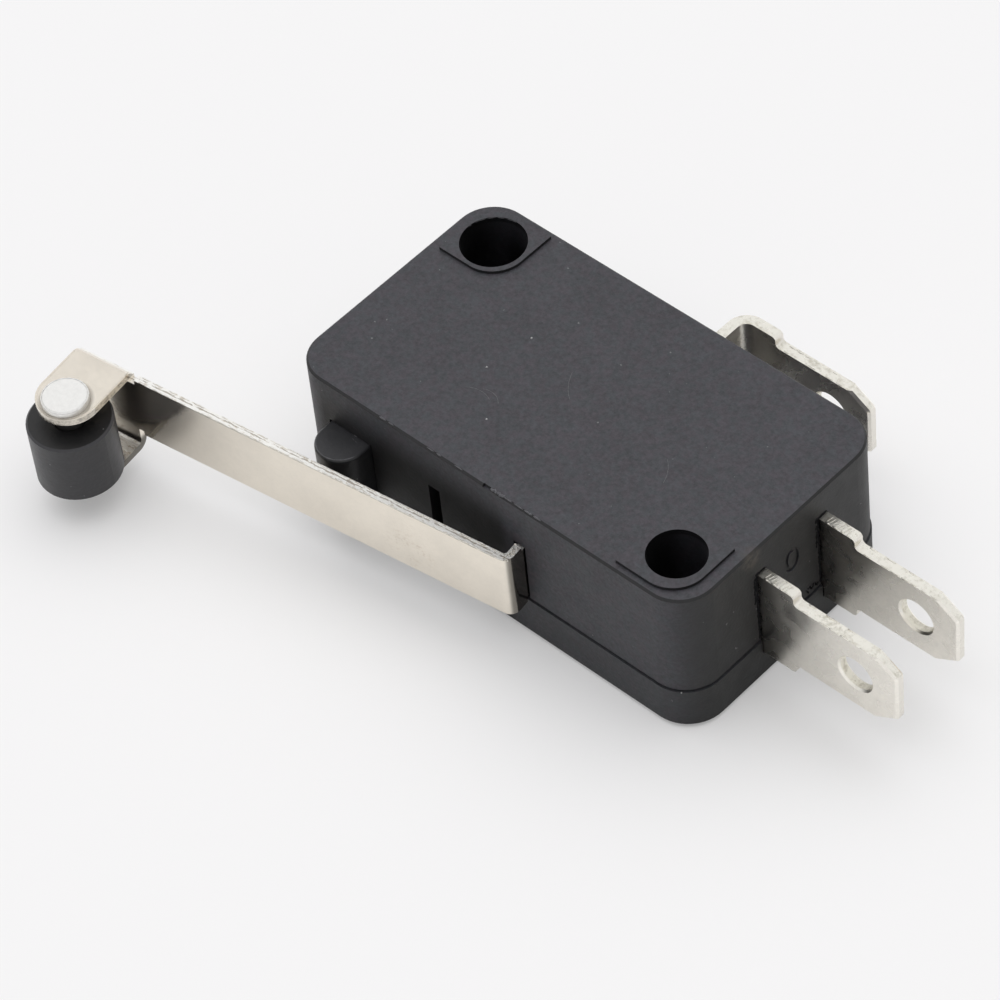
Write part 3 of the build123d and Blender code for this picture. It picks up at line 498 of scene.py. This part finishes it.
def case_marks():
    """Torn gate, flash on the lever side's top edge, the far hole's rim, specks and scuffs."""
    edge_y, edge_z = side_y + 0.14, top_z - 0.03       # on the rounded top edge
    hole, hole_radius = mounts["wide_mounting_hole"], 1.9
    rim_z = case_high.z / MM - 0.05

    flash = Detail("case_flash", "switch_body", "body_plastic", FLASH, 11)
    gate_x, gate_pitch = 0.72, 0.1
    for i in range(9):
        place = (gate_x + gate_pitch * i, edge_y - 0.03 + 0.03 * (i % 3), top_z - 0.02)
        flash.lump(place, (0.1, 0.06, 0.05), jag=0.4)
    flash.broken([(1.5, edge_y, edge_z), (4.2, edge_y, edge_z)], width=0.09, height=0.05,
                 keep=0.85, piece=0.6)
    flash.broken([(-9.5, edge_y, edge_z), (0.0, edge_y, edge_z)], width=0.06, height=0.035,
                 keep=0.6, piece=0.7)
    flash.ridge(arc(hole, hole_radius, 88, 192, rim_z), width=0.08, height=0.03, jag=0.5)
    flash.finish()

    seam = Detail("seam_flash", "switch_body", "body_plastic", BODY, 12)
    groove_y, groove_z = side_y + 0.11, seam_z + 0.07  # the bottom of the parting groove
    seam.ridge([(-11.3, groove_y, groove_z), (5.2, groove_y, groove_z)], width=0.2, height=0.05,
               up=(0, -1, 0), jag=0.12)
    seam.finish()

    dust = Detail("case_specks", "switch_body", "body_plastic", DUST, 13)
    for x, y in ((-4.85, 1.35), (-5.3, -1.66), (-2.8, -4.36)):
        dust.lump((x, y, top_z), (0.06, 0.05, 0.035))
    for angle in range(92, 186, 5):
        a = math.radians(angle + dust.random.uniform(-2, 2))
        r = hole_radius + 0.05 + dust.random.uniform(-0.03, 0.06)
        place = (hole.x + r * math.cos(a), hole.y + r * math.sin(a), rim_z + 0.01)
        dust.lump(place, (0.055, 0.04, 0.03))
    for x, z in ((-4.13, 8.08), (2.84, 4.05), (9.35, 7.38), (11.37, 6.12), (13.26, 3.3)):
        dust.lump((x, side_y + 0.13 - (top_z - z) * WALL_LEAN, z), (0.05, 0.035, 0.05))
    dust.finish()

    scuff = Detail("case_scuffs", "switch_body", "body_plastic", SCUFF, 14)
    for centre, radius, start, end in (((-4.3, -4.6), 1.5, 62, 128), ((-3.9, -3.9), 1.1, 40, 118),
                                       ((1.5, 2.0), 3.2, 200, 236), ((4.8, -2.6), 2.6, 15, 52)):
        scuff.ridge(arc(centre, radius, start, end, top_z), width=0.035, height=0.008, jag=0.5)
    scuff.finish()


def slot_rims():
    """Painted shade: dark ragged rims where the end tabs leave the wall, and black shreds beside the far one."""
    rims = Detail("tab_slot_rims", "switch_body", "body_plastic", SLOT_SHADE, 51)
    near_tab, far_tab = mounts["normally_closed_tab"], mounts["normally_open_tab"]
    outward, sunk = (1, 0, 0), 0.005
    slot_side, slot_low, slot_high = -0.43, 3.1, 8.2

    def wall(tab, off, z):
        """A place on the end wall, to one side of a tab's middle."""
        return (end_x - sunk - (z - seam_z) * WALL_LEAN, tab.y + off, z)

    for tab in (near_tab, far_tab):
        rim = [wall(tab, off, z) for off, z in ((slot_side, slot_low), (slot_side, slot_high),
                                                (0.3, slot_high))]
        rims.ridge(rim, width=0.2, height=0.03, up=outward, jag=0.3)
        rims.ridge([wall(tab, -0.6, 6.0), wall(tab, -0.56, 8.3)], width=0.16, height=0.012,
                   up=outward, jag=0.5)
    for i in range(7):
        rims.lump(wall(far_tab, -0.75 - 0.12 * i, 3.35 + 0.1 * (i % 3)), (0.03, 0.13, 0.1), jag=0.4)
    rims.finish()


def plunger_marks():
    """The thin lip along the plunger's rounded edge, and flash at its root."""
    low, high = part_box("plunger")
    tip_y, z = low.y / MM, high.z / MM
    lip = Detail("plunger_flash", "push_plunger", "plunger_plastic", SCUFF, 21)
    centre = (PLUNGER_X, tip_y + PLUNGER_NOSE_RADIUS)
    nose = arc(centre, PLUNGER_NOSE_RADIUS - 0.1, 196, 344, z - 0.02)
    lip.ridge(nose, width=0.07, height=0.03)
    for path, width, height, keep, piece in (
            (((-0.2, -7.75), (1.3, -7.9)), 0.16, 0.035, 0.9, 0.35),
            (((0.3, -8.05), (1.35, -8.2)), 0.12, 0.03, 0.7, 0.3)):
        lip.broken([(PLUNGER_X + off, y, z) for off, y in path], width, height,
                   keep=keep, piece=piece, jag=0.5)
    lip.finish()


def lever_marks():
    """Burrs on the strip's punched top edge, on the leg and round the upper ear; rivet lip."""
    burr = Detail("lever_burrs", "roller_lever", "lever_steel", NICKEL, 31)
    strip_start, strip_end = 0.4, 24.3
    for out, keep in ((1.83, 0.75), (2.2, 0.85)):
        burr.broken([on_lever(along, out, STRIP_TOP) for along in (strip_start, strip_end)],
                    width=0.08, height=0.035, keep=keep)
    for i in range(16):
        place = on_lever(burr.random.uniform(-0.16, 0.18), 0.95 + 0.08 * i, STRIP_TOP)
        burr.lump(place, (0.09, 0.06, 0.04), jag=0.25)
    ear_along, ear_out, ear_radius = 26.6, 5.11, 1.74
    outline = [on_lever(ear_along - ear_radius, 2.1, EAR_TOP)]
    for i in range(25):
        a = math.pi * i / 24
        outline.append(on_lever(ear_along - ear_radius * math.cos(a),
                                ear_out + ear_radius * math.sin(a), EAR_TOP))
    outline.append(on_lever(ear_along + ear_radius, 2.4, EAR_TOP))
    burr.ridge(outline, width=0.09, height=0.03, jag=0.25)
    burr.finish()

    lip = Detail("rivet_lip", "roller_lever", "rivet_steel", RIVET, 32)
    ring = arc(rivet, RIVET_HEAD_RADIUS - 0.015, 0, 350, RIVET_TOP - 0.05, count=40)
    lip.ridge(ring, width=0.07, height=0.035, jag=0.3)
    lip.finish()


def tab_marks():
    """Burrs along the punched edges of the three tabs."""
    edge_off = 0.27                                    # of both edges, from an end tab's middle
    root_end, blade_start, blade_end = 6.95, 6.4, 1.3  # from a tab's tip
    for name, mount in (("normally_closed_terminal", "normally_closed_tab"),
                        ("normally_open_terminal", "normally_open_tab")):
        tip, middle_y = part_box(name)[1].x / MM, mounts[mount].y
        burr = Detail(name + "_burrs", "switch_body", "terminal_tin", TIN, 41)
        for y, keep in ((middle_y - edge_off, 0.9), (middle_y + edge_off, 0.6)):
            burr.broken([(end_x + 0.3, y, TAB_ROOT_TOP), (tip - root_end, y, TAB_ROOT_TOP)],
                        width=0.1, height=0.04, keep=keep, piece=0.5)
            burr.broken([(tip - blade_start, y, TAB_TOP), (tip - blade_end, y, TAB_TOP)],
                        width=0.1, height=0.04, keep=keep, piece=0.6)
        # ripples across the root's edge
        for i in range(8):
            x = end_x + 0.35 + 0.2 * i
            burr.ridge([(x, middle_y - 0.24, TAB_ROOT_TOP),
                        (x + 0.12, middle_y + 0.24, TAB_ROOT_TOP)], width=0.07, height=0.02)
        burr.finish()

    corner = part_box("common_terminal")[1]
    outer, tip = corner.y / MM, corner.x / MM
    burr = Detail("common_terminal_burrs", "switch_body", "terminal_tin", TIN, 43)
    for y, keep in ((outer - 0.58, 0.8), (outer - 0.12, 0.6)):
        burr.broken([(4.4, y, TAB_TOP), (tip - blade_end, y, TAB_TOP)], width=0.09, height=0.035,
                    keep=keep, piece=0.6)
    burr.finish()


case_marks()
slot_rims()
plunger_marks()
lever_marks()
tab_marks()


# ---------------------------------------------------------------- stage
def make_floor():
    """A plain white sheet, which throws less light back on the object than it shows."""
    half = 1.5
    mesh = bpy.data.meshes.new("floor")
    mesh.from_pydata([(-half, -half, 0), (half, -half, 0), (half, half, 0), (-half, half, 0)], [],
                     [(0, 1, 2, 3)])
    floor = bpy.data.objects.new("floor", mesh)
    bpy.context.scene.collection.objects.link(floor)
    t = Tree(bpy.data.materials.new("floor"))
    path = t.node("ShaderNodeLightPath").outputs
    thrown, mirrored, seen = rgb(0.4, 0.4, 0.4), rgb(0.91, 0.91, 0.91), rgb(0.645, 0.64, 0.645)
    seen_glow = 0.245
    colour = t.mix(path["Is Glossy Ray"], thrown, mirrored)
    colour = t.mix(path["Is Camera Ray"], colour, seen)
    glow = t.product(path["Is Camera Ray"], seen_glow)
    mesh.materials.append(t.surface(Base_Color=colour, Roughness=0.9, Specular_IOR_Level=0.0,
                                    Emission_Color=rgb(1, 1, 1), Emission_Strength=glow))


def make_camera():
    """The photograph's view, from above the corner between the lever side and the end tabs."""
    data = bpy.data.cameras.new("camera")
    camera = bpy.data.objects.new("camera", data)
    bpy.context.scene.collection.objects.link(camera)
    lens_ratio = 4.5246                        # focal length over the sensor's width
    azimuth, elevation, roll = (math.radians(a) for a in (48.014, 48.909, -6.962))
    back = Vector((math.sin(azimuth) * math.cos(elevation),
                   -math.cos(azimuth) * math.cos(elevation), math.sin(elevation)))
    turn = (-back).to_track_quat("-Z", "Y").to_matrix() @ Matrix.Rotation(roll, 3, "Z")
    # from the origin, by the camera's own axes
    away = Vector((-5.11 * MM, 1.125 * MM, 243.92 * MM))
    camera.matrix_world = Matrix.Translation(turn @ away) @ turn.to_4x4()
    data.sensor_width = 36
    data.lens = lens_ratio * data.sensor_width
    data.clip_start, data.clip_end = 0.01, 10
    bpy.context.scene.camera = camera


def make_lights():
    """A bright tent: lit softly from above, and near white all round in reflections."""
    world = bpy.data.worlds.new("studio")
    bpy.context.scene.world = world
    t = Tree(world)
    toward = t.node("ShaderNodeTexCoord").outputs["Generated"]
    key = Vector((-0.12, 0.16, 1)).normalized()
    round_level, key_level, seen_level = 0.34, 2.05, 0.86
    soft = t.ramp(t.along(toward, key), 0.5, 1.0, round_level, key_level)
    path = t.node("ShaderNodeLightPath").outputs
    seen = t.math("MAXIMUM", path["Is Glossy Ray"], path["Is Transmission Ray"])
    seen = t.math("MAXIMUM", path["Is Camera Ray"], seen)
    strength = t.node("ShaderNodeMix", {"data_type": "FLOAT"}, in0=seen, in2=soft, in3=seen_level)
    sky = t.node("ShaderNodeBackground", Color=rgb(1, 1, 1), Strength=strength.outputs[0])
    t.node("ShaderNodeOutputWorld", Surface=sky.outputs[0])


make_floor()
make_camera()
make_lights()
bpy.context.scene.view_settings.view_transform = "Standard"
